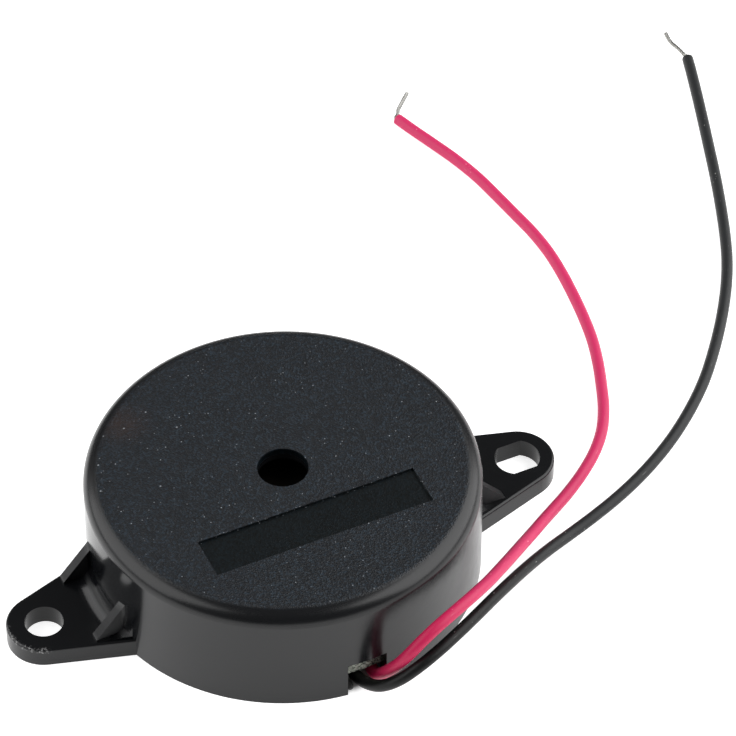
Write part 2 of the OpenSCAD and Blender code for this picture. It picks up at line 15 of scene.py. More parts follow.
import bpy
import numpy as np
from mathutils import Matrix, Vector


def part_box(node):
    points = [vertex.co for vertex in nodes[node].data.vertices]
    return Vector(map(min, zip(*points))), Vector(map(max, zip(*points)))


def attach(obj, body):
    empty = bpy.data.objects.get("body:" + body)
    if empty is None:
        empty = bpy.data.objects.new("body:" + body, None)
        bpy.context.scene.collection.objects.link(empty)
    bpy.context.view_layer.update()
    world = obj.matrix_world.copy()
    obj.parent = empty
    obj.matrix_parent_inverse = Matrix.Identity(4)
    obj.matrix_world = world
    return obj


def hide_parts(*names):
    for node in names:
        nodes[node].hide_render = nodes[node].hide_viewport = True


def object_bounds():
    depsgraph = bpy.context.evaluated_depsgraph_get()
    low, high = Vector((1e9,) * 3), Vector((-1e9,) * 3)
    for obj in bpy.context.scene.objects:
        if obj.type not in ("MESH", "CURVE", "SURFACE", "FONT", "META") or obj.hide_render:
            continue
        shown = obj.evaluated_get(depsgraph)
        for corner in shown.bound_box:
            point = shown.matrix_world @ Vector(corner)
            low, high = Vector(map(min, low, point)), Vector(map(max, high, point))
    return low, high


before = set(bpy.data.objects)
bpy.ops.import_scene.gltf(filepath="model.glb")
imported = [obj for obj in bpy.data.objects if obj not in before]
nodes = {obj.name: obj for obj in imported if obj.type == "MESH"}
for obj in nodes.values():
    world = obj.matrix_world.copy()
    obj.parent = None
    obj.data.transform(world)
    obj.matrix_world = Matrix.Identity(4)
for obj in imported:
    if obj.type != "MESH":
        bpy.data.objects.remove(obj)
cad_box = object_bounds()
scene = bpy.context.scene
MM = 0.001
size = [round(side / MM, 1) for side in cad_box[1] - cad_box[0]]
print(len(nodes), "solids in a box of", size, "mm")

# %% [markdown]
# The camera looks down at the buzzer from its front left, through a long lens,
# as in a catalogue. A long lens far away keeps parallel edges nearly parallel.
# The camera could be placed by hand and its matrix copied here. An azimuth and
# an elevation are easier to read and to change, and three unit vectors follow
# from them.

# %% Camera
AZIMUTH = math.radians(-25.007)
ELEVATION = math.radians(46.07)
ROLL = math.radians(-0.116)
VIEW_MIDDLE = np.array([19.565, 20.882, 0.0]) * MM
VIEW_DISTANCE = 549.03 * MM
LENS = 244.16  # focal length in millimetres, on Blender's usual 36 mm sensor

flat_back = np.array([math.sin(AZIMUTH), -math.cos(AZIMUTH), 0.0])
back = math.cos(ELEVATION) * flat_back + math.sin(ELEVATION) * np.array([0.0, 0.0, 1.0])
level = np.array([math.cos(AZIMUTH), math.sin(AZIMUTH), 0.0])
upright = np.cross(back, level)
right = math.cos(ROLL) * level + math.sin(ROLL) * upright
up = math.cos(ROLL) * upright - math.sin(ROLL) * level

camera = bpy.data.objects.new("camera", bpy.data.cameras.new("camera"))
scene.collection.objects.link(camera)
camera.data.lens = LENS
camera.data.clip_start = 10 * MM
placed = Matrix(np.column_stack([right, up, back]).tolist()).to_4x4()
placed.translation = Vector(VIEW_MIDDLE + VIEW_DISTANCE * back)
camera.matrix_world = placed
scene.camera = camera
print("camera at", [round(c / MM, 1) for c in placed.translation], "mm")

# %% [markdown]
# Both leads are soft stranded wire, 1.3 mm across, soldered under the board.
# They leave through the notch, turn along the wall and spring up a little, the
# black one to 6.5 mm and the red one to 9.3 mm, before they come down and lie
# on the table. Such thin wire is too stiff to sag over so short an arch. Their
# middle lines are lists of points in millimetres, which a smooth curve joins. A
# formula would be shorter, but a loose lead follows none.
#
# These aren't the round numbers of the solid model's tubes. A fitting program
# moved most points by up to 0.4 mm, to take out small kinks and to bring the
# leads nearer to the real ones, and the black lead's end was moved back by
# 0.5 mm.

# %% Routes of the leads
LEAD_D = 1.3 * MM
LOW = 0.65
BLACK_ROUTE = [
    [-1.6, -12.4, LOW], [-1.3, -15, LOW], [-0.9, -17.4, LOW], [-0.6, -19.2, LOW],
    [-0.2, -21.2, 1.3], [0.55, -23.08, 2.56], [1.94, -24.36, 4.15], [4.06, -24.71, 5.59],
    [6.74, -24.13, 6.39], [9.59, -22.86, 6.49], [12.39, -21.25, 6.11], [15.07, -19.46, 5.39],
    [17.69, -17.59, 4.38], [20.24, -15.71, 3.21], [22.78, -13.92, 2.06], [25.47, -12.32, 1.14],
    [28.47, -11.01, LOW], [31.79, -9.86, LOW], [35.16, -8.54, LOW], [38.38, -7.04, LOW],
    [41.41, -5.36, LOW], [44.29, -3.5, LOW], [47.04, -1.42, LOW], [49.69, 0.87, LOW],
    [52.22, 3.38, LOW], [54.61, 6.16, LOW], [56.95, 9.13, LOW], [59.15, 12.2, LOW],
    [61.15, 15.32, LOW], [62.9, 18.49, LOW], [64.4, 21.74, LOW], [65.78, 25.09, LOW],
    [67.1, 28.5, LOW], [68.37, 31.98, LOW], [69.59, 35.51, LOW], [70.82, 39.07, LOW],
    [72, 42.55, LOW], [73.05, 45.73, LOW], [73.89, 48.35, LOW], [74.37, 49.95, LOW],
]
RED_ROUTE = [
    [2.2, -12.4, LOW], [1.9, -14.6, LOW], [1.5, -16.8, LOW], [1.3, -18.8, LOW], [1.3, -20, 0.95],
    [1.5, -20.9, 1.7], [1.65, -21.65, 2.7], [2.02, -22.49, 3.96], [2.61, -23.28, 5.44],
    [3.48, -23.76, 6.98], [4.84, -23.8, 8.3], [6.72, -23.37, 9.11], [8.87, -22.55, 9.3],
    [11.02, -21.44, 9], [13.04, -20.17, 8.41], [14.94, -18.83, 7.7], [16.73, -17.4, 6.95],
    [18.48, -15.96, 6.15], [20.19, -14.49, 5.31], [21.86, -13.02, 4.43], [23.5, -11.56, 3.51],
    [25.12, -10.08, 2.59], [26.78, -8.62, 1.73], [28.66, -7.15, 1.04], [30.93, -5.56, LOW],
    [33.56, -3.69, LOW], [36.13, -1.48, LOW], [38.31, 1.07, LOW], [39.99, 3.98, LOW],
    [41.33, 7.14, LOW], [42.56, 10.42, LOW], [43.57, 13.83, LOW], [44.28, 17.39, LOW],
    [44.8, 21, LOW], [45.18, 24.62, LOW], [45.32, 28.2, LOW], [45.1, 31.71, LOW],
    [44.58, 35.18, LOW], [44.03, 38.73, LOW], [43.39, 42.41, LOW], [42.41, 46.08, LOW],
    [41.23, 49.5, LOW], [40.16, 52.44, LOW], [39.29, 55, LOW],
]


def spline(points, step):
    """A Catmull-Rom curve through the points: between two points it is the cubic
    whose slope at each end is half the way between the neighbours on both sides.
    Returns the place of each sample, counted in points, and the sample itself,
    about every `step` metres."""
    p = np.asarray(points, float) * MM
    gaps = np.linalg.norm(np.diff(p, axis=0), axis=1)
    p = np.vstack([2 * p[0] - p[1], p, 2 * p[-1] - p[-2]])
    count = np.maximum(1, np.round(gaps / step)).astype(int)
    span = np.repeat(np.arange(len(count)), count)
    t = np.concatenate([np.arange(n) / n for n in count])
    a, b, c, d = (p[span + k] for k in range(4))
    slope, bend, turn = c - a, 2 * a - 5 * b + 4 * c - d, 3 * (b - c) + d - a
    w = t[:, None]
    curve = b + 0.5 * w * (slope + w * (bend + w * turn))
    return np.append(span + t, len(count)), np.vstack([curve, p[-2]])


def length_along(path):
    """Distance of each point from the first, along the path."""
    return np.append(0, np.cumsum(np.linalg.norm(np.diff(path, axis=0), axis=1)))


STEP = 0.2 * MM
black_path = spline(BLACK_ROUTE, STEP)[1]
red_path = spline(RED_ROUTE, STEP)[1]
print(f"black {length_along(black_path)[-1]:.4f} m, red {length_along(red_path)[-1]:.4f} m")

# %% [markdown]
# A cord is a circle carried along its path. Each ring stands square to the
# path, on two directions: one level and one upward. The leads never run
# straight up, so the level direction is always there, and no ring twists
# against the next one. A curve object with a round bevel would do as well, but
# a grid of points also gives the pattern on the lead its own coordinates: how
# far round, and how far along.

# %% Surfaces from grids
DOWN = -np.pi / 2


def directions(path):
    """Unit vectors along a path, level across it and upward across it."""
    ahead = np.gradient(path, axis=0)
    ahead /= np.linalg.norm(ahead, axis=1)[:, None]
    across = np.cross([0.0, 0.0, 1.0], ahead)
    across /= np.linalg.norm(across, axis=1)[:, None]
    return ahead, across, np.cross(ahead, across)


def carry(centres, across, over, radius, sides):
    """Rings round the centres: point = centre + r (cos a across + sin a over),
    with the seam of the angle a underneath. Quads join neighbouring rings, and
    one flat face closes each end. Gives points, faces, and (turn, length) of
    each face's corners."""
    rows = len(centres)
    a = DOWN + np.arange(sides) / sides * 2 * np.pi
    ring = np.cos(a)[:, None] * across[:, None] + np.sin(a)[:, None] * over[:, None]
    points = centres[:, None] + np.broadcast_to(radius, rows)[:, None, None] * ring
    i, k = np.meshgrid(np.arange(rows - 1), np.arange(sides), indexing="ij")
    corners = [(i, k), (i, k + 1), (i + 1, k + 1), (i + 1, k)]
    quads = np.stack([r * sides + c % sides for r, c in corners], -1).reshape(-1, 4)
    along = length_along(centres)
    uv = np.stack([np.stack([c / sides, along[r]], -1) for r, c in corners], -2).reshape(-1, 2)
    first, last = np.arange(sides), np.arange(sides) + (rows - 1) * sides
    faces = quads.tolist() + [first[::-1].tolist(), last.tolist()]
    caps = np.repeat([[0, 0], [0, along[-1]]], sides, axis=0)
    return points.reshape(-1, 3), faces, np.vstack([uv, caps])


def add_piece(name, surfaces):
    """One smooth object, riding on the buzzer, from one or more surfaces."""
    points, faces, uv, first = [], [], [], 0
    for p, f, t in surfaces:
        faces += [[first + v for v in face] for face in f]
        points.append(p)
        uv.append(t)
        first += len(p)
    mesh = bpy.data.meshes.new(name)
    mesh.from_pydata(np.vstack(points).tolist(), [], faces)
    mesh.polygons.foreach_set("use_smooth", np.full(len(faces), True))
    mesh.uv_layers.new(name="UVMap").data.foreach_set("uv", np.vstack(uv).ravel())
    piece = bpy.data.objects.new(name, mesh)
    scene.collection.objects.link(piece)
    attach(piece, "root")
    print(f"{name}: {len(points)} surface(s), {len(faces)} faces")
    return piece


for colour, path in (("black", black_path), ("red", red_path)):
    steepest = np.degrees(np.arcsin(np.abs(directions(path)[0][:, 2]).max()))
    print(f"the {colour} lead climbs at {steepest:.0f} degrees at most")

# %% [markdown]
# The insulation was cut round and pulled off, so it ends in a square face with
# a slightly rounded lip, and a small well round the strands. A Bevel modifier
# could round the lip, but would leave the well to be cut by another. Here both
# are a short list of steps back from the end, each with its radius, which
# become more rings of the same tube. Both ends get it, so the surface is closed.

# %% Insulation of the two leads
LEAD_SIDES = 28
LIP = MM * np.array([
    [0.12, 0.65], [0.05, 0.637], [0.015, 0.6], [0, 0.55], [0, 0.38], [0.03, 0.32],
    [0.25, 0.3],
])
PAST_LIP = 1.2 * LIP[0, 0]  # where the rings on the path itself begin


def insulation(name, path, node):
    """A round tube along the path, with a rounded lip and a well at both ends."""
    ahead, across, over = directions(path)
    from_start, from_end = (np.linalg.norm(path - path[k], axis=1) for k in (0, -1))
    keep = (from_start > PAST_LIP) & (from_end > PAST_LIP)
    head = path[0] + LIP[::-1, :1] * ahead[0]
    tail = path[-1] - LIP[:, :1] * ahead[-1]
    centres = np.vstack([head, path[keep], tail])
    radius = np.concatenate([LIP[::-1, 1], np.full(keep.sum(), LEAD_D / 2), LIP[:, 1]])
    many = len(LIP)
    sideways, upward = (
        np.vstack([np.tile(v[0], (many, 1)), v[keep], np.tile(v[-1], (many, 1))])
        for v in (across, over)
    )
    piece = add_piece(name, [carry(centres, sideways, upward, radius, LEAD_SIDES)])
    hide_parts(node)
    return piece


black_insulation = insulation("black_insulation", black_path, "black_lead")
red_insulation = insulation("red_insulation", red_path, "red_lead")

# %% [markdown]
# Seven fine tinned wires make up each conductor: one in the middle and six
# twisted round it. The bundle opens a little towards its tip, where the twist
# has come loose. Copies of one strand on a Simple Deform twist could show the
# turns, but not the bundle's own bend. So every strand is a helix, worked out
# round the bent middle line of the bundle, which starts inside the insulation.

# %% Stranded ends
STRANDS = 7
STRAND_D = 0.15 * MM
STRAND_SIDES = 10
STRAND_STEP = 0.06 * MM
STRAND_TIP = 0.6  # thickness of a cut tip, as a share of the strand's
BUNDLE_R = 1.03 * STRAND_D
TWIST = math.radians(170)  # from one point of the middle line to the next
FRAY = 0.15  # how much wider the bundle is at its tip, as a share
ROOT = [-0.2, 0.05, 0.3]  # first points of the bundle, in mm past the insulation
BLACK_END = [
    [74.27, 50.6, 0.72], [74.14, 51.9, 0.65], [73.98, 53.2, 0.5], [74.04, 54.1, 0.42],
    [74.22, 55.15, 0.35],
]
RED_END = [
    [39.6, 55.6, 0.7], [40.05, 56.35, 0.68], [40.93, 57.28, 0.55], [41.64, 58.04, 0.45],
    [42.33, 58.75, 0.35],
]


def strands(name, route, end, node):
    """Helices round the bundle: middle + r (cos a across + sin a over), where a
    grows with the place along the bundle and r grows with its third power."""
    last, before = np.array(route[-1], float), np.array(route[-2], float)
    ahead = (last - before) / np.linalg.norm(last - before)
    place, middle = spline([last + far * ahead for far in ROOT] + end, STRAND_STEP)
    across, over = directions(middle)[1:]
    share = place / place[-1]
    past_root = np.maximum(place - (len(ROOT) - 1), 0)
    surfaces = []
    for k in range(STRANDS):
        a = math.radians(360 / (STRANDS - 1) * k) + TWIST * past_root
        r = (k > 0) * BUNDLE_R * (1 + FRAY * share**3)
        path = middle + (r * np.cos(a))[:, None] * across + (r * np.sin(a))[:, None] * over
        taper = np.full(len(path), STRAND_D / 2)
        taper[-1] *= STRAND_TIP
        surfaces.append(carry(path, *directions(path)[1:], taper, STRAND_SIDES))
    piece = add_piece(name, surfaces)
    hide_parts(node)
    return piece


black_strands = strands("black_strands", BLACK_ROUTE, BLACK_END, "black_lead_strands")
red_strands = strands("red_strands", RED_ROUTE, RED_END, "red_lead_strands")

# %% [markdown]
# The outside of the round wall lies at the radius of the case, which the box of
# its solid gives.

CASE_R = float(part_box("case")[1][1])


# %% [markdown]
# A finish is a small network of nodes. It could be drawn in the node editor,
# but a formula is easier to read and to change than boxes and wires. So what a
# node gives out is wrapped in a class whose plus, minus and times add Math
# nodes. Two soft steps make the masks, and a wave makes what repeats.

# %% Values with the signs of maths
BORDER = 0.03 * MM  # half the width of the soft border of a mask


class Value:
    """What a node gives out, with Python's own signs for the maths on it."""

    def __init__(self, finish, socket):
        self.finish = finish
        self.socket = socket

    def maths(self, operation, *others):
        """A Math node, with this value as its first input."""
        return self.finish.add("Math", {"operation": operation}, dict(enumerate([self, *others])))

    def __add__(self, other):
        return self.maths("ADD", other)

    def __sub__(self, other):
        return self.maths("SUBTRACT", other)

    def __mul__(self, other):
        return self.maths("MULTIPLY", other)

    def __truediv__(self, other):
        return self.maths("DIVIDE", other)

    def __pow__(self, other):
        return self.maths("POWER", other)

    def __rsub__(self, other):
        """other - self, as self times -1, plus other."""
        return self.maths("MULTIPLY_ADD", -1, other)

    __radd__ = __add__
    __rmul__ = __mul__

    def near(self, middle, half):
        """1 within `half` of the middle and 0 beyond it, with a thin soft border."""
        return (self - middle).maths("ABSOLUTE").rise(half + BORDER, half - BORDER)

    def rise(self, low, high):
        """0 below low and 1 above high, with a soft step between; falls if high < low."""
        settings = {"interpolation_type": "SMOOTHSTEP"}
        inputs = {"Value": self, "From Min": low, "From Max": high}
        return self.finish.add("MapRange", settings, inputs)

    def wave(self, length):
        """A sine from -1 to 1 that comes back to the same once every `length`."""
        return (self * (2 * math.pi / length)).maths("SINE")


print("besides its signs, a value has:", [name for name in vars(Value) if name[0] != "_"])

# %% [markdown]
# The finish itself is a material with one Principled shader. One method makes
# every node. Its settings come first, because they decide which inputs a node
# has, and then the values or links of those inputs. Each kind of texture could
# have a class of its own, but the buzzer needs so few that short methods do.
# All of them read Object coordinates, unless they are given another vector.

# %% Finishes


class Finish:
    """A material with one Principled shader, and ways to add nodes to it."""

    def __init__(self, name, **constants):
        self.material = bpy.data.materials.new(name)
        self.material.use_nodes = True
        self.tree = self.material.node_tree
        self.shader = self.tree.nodes["Principled BSDF"]
        self.place = self.add("TexCoord", output="Object")
        self.set(**constants)

    def add(self, kind, settings=None, inputs=None, output=0):
        """A new node of a kind, and what comes out of one of its outputs."""
        node = self.tree.nodes.new("ShaderNode" + kind)
        for key, value in (settings or {}).items():
            setattr(node, key, value)
        self.feed(node, inputs or {})
        return Value(self, node.outputs[output])

    def feed(self, node, inputs):
        """Links each input that is a Value, and sets the others."""
        for key, value in inputs.items():
            if isinstance(value, Value):
                self.tree.links.new(value.socket, node.inputs[key])
            else:
                node.inputs[key].default_value = value

    def set(self, **inputs):
        """Feeds the shader's own inputs, named with _ for a space."""
        self.feed(self.shader, {key.replace("_", " "): value for key, value in inputs.items()})

    def parts(self, vector):
        """The three numbers of a vector."""
        node = self.add("SeparateXYZ", inputs={0: vector}).socket.node
        return [Value(self, out) for out in node.outputs]

    def from_axis(self, axis_x=0.0, axis_y=0.0):
        """Distance from the upright axis at that X and Y."""
        x, y = self.parts(self.place)[:2]
        x, y = x - axis_x, y - axis_y
        return (x * x + y * y) ** 0.5

    def noise(self, size, detail=2.0, vector=None, rough=0.5):
        """Soft random values from 0 to 1, in lumps about `size` metres across."""
        place = {"Vector": vector or self.place, "Scale": 1 / size}
        return self.add("TexNoise", inputs={**place, "Detail": detail, "Roughness": rough})

    def cells(self, size):
        """Scattered cells about `size` metres across: the distance from each cell's
        middle, counted in cells, and a random number for each cell."""
        inputs = {"Vector": self.place, "Scale": 1 / size}
        node = self.add("TexVoronoi", {"feature": "F1"}, inputs).socket.node
        luck = self.parts(Value(self, node.outputs["Color"]))[0]
        return Value(self, node.outputs["Distance"]), luck

    def mix(self, mask, first, second):
        """The first colour where the mask is 0, and the second where it is 1."""
        inputs = {0: mask, 6: first, 7: second}
        return self.add("Mix", {"data_type": "RGBA"}, inputs, output=2)

    def bump(self, height, depth):
        """Tilts the surface as if `height` from 0 to 1 were `depth` metres high."""
        return self.add("Bump", inputs={"Height": height, "Distance": depth, "Strength": 1.0})


print("ways to add to a finish:", [name for name in vars(Finish) if name[0] != "_"])

# %% [markdown]
# Colours are written as a screen shows them, from 0 to 255, because that is how
# most colour pickers give them. A shader works with amounts of light instead,
# and half way up the screen's scale is only a fifth of the light of white, so a
# formula turns one into the other. A finish then goes to solids by their names,
# and to new pieces, in every material slot that they have.

# %% Colours and painting


def shade(red, green, blue):
    """The light of a screen colour: c / 12.92 for the darkest, with c from 0 to
    1, and ((c + 0.055) / 1.055) to the power 2.4 for all others."""
    c = np.array([red, green, blue]) / 255
    light = np.where(c < 0.04045, c / 12.92, ((c + 0.055) / 1.055) ** 2.4)
    return (*light.tolist(), 1.0)


def paint(finish, *pieces):
    """Gives a finish to CAD solids by name and to new pieces."""
    things = [nodes[piece] if isinstance(piece, str) else piece for piece in pieces]
    for thing in things:
        if not thing.material_slots:
            thing.data.materials.append(None)
        for slot in thing.material_slots:
            slot.material = finish.material
    print(f"{finish.material.name}: {len(finish.tree.nodes)} nodes, on {len(things)} piece(s)")


print(f"grey 128 on the screen is {shade(128, 128, 128)[0]:.3f} of the light of white")

# %% [markdown]
# The case is one moulding in black plastic, but its mould was not the same all
# over. The flat top was spark eroded, which leaves a fine matt grain, and the
# sunk plate is a smoother version of it. The rounded edge, the wall and the
# ears were polished. Each place could have a material on faces of its own, but
# those faces would have to be found first. Masks worked out from the height and
# the distance from the axis find the places by themselves, and their borders
# lie exactly on the edges of the solid. A part of the wall on the front right,
# where fingers hold the buzzer, gets a mask too.

# %% Places on the case
CASE_H = float(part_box("case")[1][2])
TOP_LOW = CASE_H - 0.9 * MM  # a little below the floor of the sunk plate
FLAT_R = CASE_R - 1.7 * MM  # where the top starts to round off
EAR_T = 2.3 * MM  # thickness of an ear
EAR_TIP_R = 4 * MM  # radius of its round tip, whose middle is the hole's
LEFT_HOLE_X = float(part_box("case")[0][0]) + EAR_TIP_R


def case_places(f):
    """Masks that are 1 on a place of the case and 0 elsewhere."""
    x, y, z = f.parts(f.place)
    out = f.from_axis()
    top = z.rise(TOP_LOW, TOP_LOW + 0.3 * MM) * out.rise(FLAT_R + 0.55 * MM, FLAT_R)
    sunk = top * z.rise(CASE_H - 0.1 * MM, CASE_H - 0.2 * MM)
    rounded = z.rise(CASE_H - 2.1 * MM, CASE_H - 1.2 * MM)
    front_right = x.rise(-6 * MM, 1 * MM) * y.rise(-5 * MM, -12 * MM)
    ear = out.rise(CASE_R + 0.1 * MM, CASE_R + 0.6 * MM)
    return SimpleNamespace(
        top=top,
        sunk=sunk,
        raised=top * (1 - sunk),
        rounded=rounded,
        ear=ear,
        gusset=ear * z.rise(EAR_T + 0.2 * MM, EAR_T + 0.6 * MM),
        handled=front_right * (1 - rounded),
    )


print(f"top at {CASE_H / MM:.1f} mm, left hole at X {LEFT_HOLE_X / MM:.1f} mm")

# %% [markdown]
# Each spark leaves a tiny crater, so the grain is made of cells, which are low
# in the middle, high between them, and each a little darker or paler. A fine
# noise alone would look like leather. Here and there a facet gets a painted
# highlight, a pale dot in its colour, more often where the top is dusty. So do
# the far edge and the right edge of the sunk plate, where the mould had a sharp
# corner.

# %% Grain, and painted glints of the top
PLATE_X = 12.25 * MM
PLATE_Y = (-10.8 * MM, -5.8 * MM)
PLATE_EDGE = 0.12 * MM
CRATER = 0.2 * MM
FACET = 0.3 * MM
EDGE_FACET = 0.22 * MM
# colour of the painted highlights on the facets, and of the pale dust specks
PAINTED_GLINT_AND_SPECK = shade(176, 182, 188)


def grain_of_top(f):
    """Height of the grain from 0 to 1, and a random tone for each crater."""
    pit, tone = f.cells(CRATER)
    return 0.6 * pit + 0.4 * f.noise(0.12 * MM, 1.0), tone


def painted_glints(f, at):
    """How much painted highlight each facet gets, on the raised top and along two edges."""
    x, y = f.parts(f.place)[:2]
    away, luck = f.cells(FACET)
    dusty = f.noise(5 * MM, 3.0).rise(0.45, 0.7)
    # painted highlight: some facets are painted pale
    facet_highlight = away.rise(0.28, 0.08) * (luck + dusty * 0.07).rise(0.88, 1.05) ** 2
    middle_y, half_y = sum(PLATE_Y) / 2, (PLATE_Y[1] - PLATE_Y[0]) / 2
    far_edge = y.near(PLATE_Y[1], PLATE_EDGE) * x.near(0.0, PLATE_X)
    right_edge = x.near(PLATE_X, PLATE_EDGE) * y.near(middle_y, half_y)
    away, luck = f.cells(EDGE_FACET)
    # painted highlight along the plate's far and right edges
    edge_highlight = away.rise(0.35, 0.15) * luck.rise(0.72, 0.78) * (far_edge + right_edge)
    return facet_highlight * at.raised * 0.75 + edge_highlight * 0.4


print(f"craters {CRATER / MM:.1f} mm and facets {FACET / MM:.1f} mm across")

# %% [markdown]
# A buzzer out of a drawer is not quite clean. A faint brown smear of dust lies
# on the left of the top, and seven larger specks lie round it. The rim of its
# left ear gets a painted highlight, broken into ragged flecks. A painted image
# could hold all this. But an image needs the surface laid flat first, while a
# mask only needs a place, which is given here in metres from the middle.

# %% Dust, and a painted highlight on an ear's rim
# size and colour of the painted highlight flecks on the left ear's rim
RIM_FLECK = 0.3 * MM
RIM_HIGHLIGHT = shade(130, 130, 130)
DUST = shade(52, 32, 22)
SMEAR_AT = (-12.7 * MM, 12.8 * MM)
SMEAR_R = 4 * MM
SPECK = 0.08 * MM
SPECKS_AT = MM * np.array([
    [-9.8, 13.4], [-12.8, 12.2], [-7.7, 10.0], [-12.6, 3.0], [-17.3, 8.5],
    [-18.5, 5.0], [-15.2, 12.1],
])


def painted_rim_highlight(f):
    """Painted highlight, ragged, on the upper rim of the left ear's tip, on its front half."""
    x, y, z = f.parts(f.place)
    out = f.from_axis(LEFT_HOLE_X)
    rim = out.rise(EAR_TIP_R - 0.6 * MM, EAR_TIP_R - 0.2 * MM)
    rim = rim * z.near(EAR_T - 0.25 * MM, 0.25 * MM)
    outer = x.rise(LEFT_HOLE_X - 0.5 * MM, LEFT_HOLE_X - 1.5 * MM)
    ragged = f.noise(RIM_FLECK, 4.0, rough=0.7).rise(0.51, 0.66)
    return ragged * rim * outer * y.rise(1.5 * MM, 0.5 * MM)


def dust(f):
    """The smear, which thins out from its middle, and the specks."""
    x, y = f.parts(f.place)[:2]
    smear = f.from_axis(*SMEAR_AT).rise(SMEAR_R, 0.0) * f.noise(0.8 * MM, 3.0) * 0.5
    specks = sum((x.near(sx, SPECK) * y.near(sy, SPECK) for sx, sy in SPECKS_AT.tolist()), 0)
    return smear, specks * 0.45


print(len(SPECKS_AT), "specks round a smear of", 2 * SMEAR_R / MM, "mm")

# %% [markdown]
# Now the places and the patterns come together. The layers could be materials
# of their own, joined by Mix Shader nodes. One shader whose inputs are mixed
# does the same with less to work out. Colours are mixed from the lowest layer
# up: plastic with a painted highlight on one ear's rim, then dust, then the
# painted highlights of the facets and the pale dust specks. The roughness rises
# where the case was handled, on the ears, and on the gussets, whose part of the
# mould was cut with a coarser tool. All relief goes into one bump.

# %% Finish of the case


def case_finish():
    """Polished black, with the grained top, painted glints and rim highlight, and a little wear.
    """
    f = Finish("moulded_black", IOR=1.5, Specular_IOR_Level=0.31)
    at = case_places(f)
    grain, tone = grain_of_top(f)
    smear, specks = dust(f)
    cloud = f.noise(7 * MM, 2.0)
    rubbed = f.noise(1.5 * MM, 4.0, rough=0.6)

    polish = f.mix(cloud, shade(9, 10, 12), shade(13, 14, 16))
    # painted highlight in ragged flecks on the left ear's rim
    polish = f.mix(painted_rim_highlight(f), polish, RIM_HIGHLIGHT)
    skin = f.mix(tone ** 3, shade(0, 3, 8), shade(22, 33, 42))
    plate = f.mix(tone, shade(0, 2, 2), shade(6, 14, 18))
    plastic = f.mix(at.top, polish, f.mix(at.sunk, skin, plate))
    dusty = f.mix(smear * at.top, plastic, DUST)

    gloss = 0.12 + 0.03 * cloud + 0.14 * at.rounded + 0.24 * at.raised + 0.07 * at.sunk
    worn = (0.04 + 0.12 * rubbed) * (at.ear + at.handled) + 0.35 * at.gusset
    eroded = grain * (at.raised + 0.25 * at.sunk)
    uneven = rubbed * (0.1 * at.handled + 0.05 * at.ear)
    f.set(
        # painted highlights of the facets and pale dust specks, in one colour
        Base_Color=f.mix((painted_glints(f, at) + specks) * at.top, dusty, PAINTED_GLINT_AND_SPECK),
        Roughness=gloss + worn,
        Normal=f.bump(eroded + uneven, 0.1 * MM),
    )
    return f


paint(case_finish(), "case")

# %% [markdown]
# PVC insulation is soft, so it has a dull shine and picks up scuffs: fine
# scratches along the lead and short pale nicks. The part of each lead that
# stands up beside the case is painted darker, as painted shade from the case,
# and its free part paler, as painted light. On Object coordinates a scratch
# could not bend with the lead, so the pattern reads the tube's own coordinates.
# Multiplied by the lead's girth they become metres both ways, and a Vector Math
# node stretches them.

# %% Leads
GIRTH = math.pi * LEAD_D
NICKS = (0.3 * MM, 0.45 * MM)
SCRATCHES = (0.12 * MM, 1.5 * MM)


def along_lead(f, across, lengthways):
    """Places on the lead counted in patches of the given width and length."""
    inputs = {0: f.add("UVMap"), 1: (GIRTH / across, 1 / lengthways, 1.0)}
    return f.add("VectorMath", {"operation": "MULTIPLY"}, inputs)


def pvc(name, shaded_near_case, lit_far_end, nicked, lands, shine):
    """Soft insulation, painted darker near the case as painted shade. Its colour
    goes over to the paler free end, painted light, where the lead lands on the
    table, `lands` metres along it; nicks are paler."""
    f = Finish(name, IOR=1.5, Specular_IOR_Level=shine)
    along = f.parts(f.add("UVMap"))[1]
    cloud = f.noise(2.5 * MM, 2.0)
    # painted shade near the case, going over to painted light on the free part
    lit_share = along.rise(lands - 10 * MM, lands + 2 * MM) * (0.85 + 0.3 * cloud)
    nick = f.noise(1, 1.0, vector=along_lead(f, *NICKS)).rise(0.74, 0.8)
    scratch = f.noise(1, 1.0, vector=along_lead(f, *SCRATCHES)).rise(0.7, 0.8) * 0.4
    f.set(
        Base_Color=f.mix((nick + scratch) * 0.7, f.mix(lit_share, shaded_near_case, lit_far_end), nicked),
        Roughness=0.4 + 0.1 * cloud + 0.2 * nick,
        Normal=f.bump(f.noise(0.5 * MM, 2.0) - nick, 0.01 * MM),
    )
    return f


# each lead: painted shade near the case, painted light at the free end, pale nicks
black_pvc = pvc(
    "black_pvc", shade(8, 9, 9), shade(34, 35, 36), shade(150, 150, 148),
    lands=44 * MM, shine=0.2,
)
red_pvc = pvc(
    "red_pvc", shade(174, 26, 72), shade(182, 40, 86), shade(236, 150, 170),
    lands=28 * MM, shine=0.25,
)
paint(black_pvc, black_insulation)
paint(red_pvc, red_insulation)

# %% [markdown]
# The bared wires are tinned copper, and so are the legs of every component.
# Bare metal takes nearly all its look from what it mirrors. One flat colour
# would do from afar, but tin grows a dull film in the air, so one noise makes
# the wire darker and glossier in some places and paler and duller in others.

# %% Bare wires


def tinned_wire():
    """Grey metal that gets paler and duller under its film."""
    f = Finish("tinned_copper", Metallic=1.0)
    film = f.noise(0.35 * MM, 3.0)
    f.set(
        Base_Color=f.mix(film, shade(92, 91, 88), shade(186, 185, 181)),
        Roughness=0.2 + 0.25 * film,
        Normal=f.bump(f.noise(0.08 * MM, 2.0), 0.004 * MM),
    )
    return f


paint(
    tinned_wire(), black_strands, red_strands, "black_lead_root", "red_lead_root",
    "transistor_pins", "choke_pins", "diode_wires",
    "bias_resistor_wires", "feedback_resistor_wires",
)

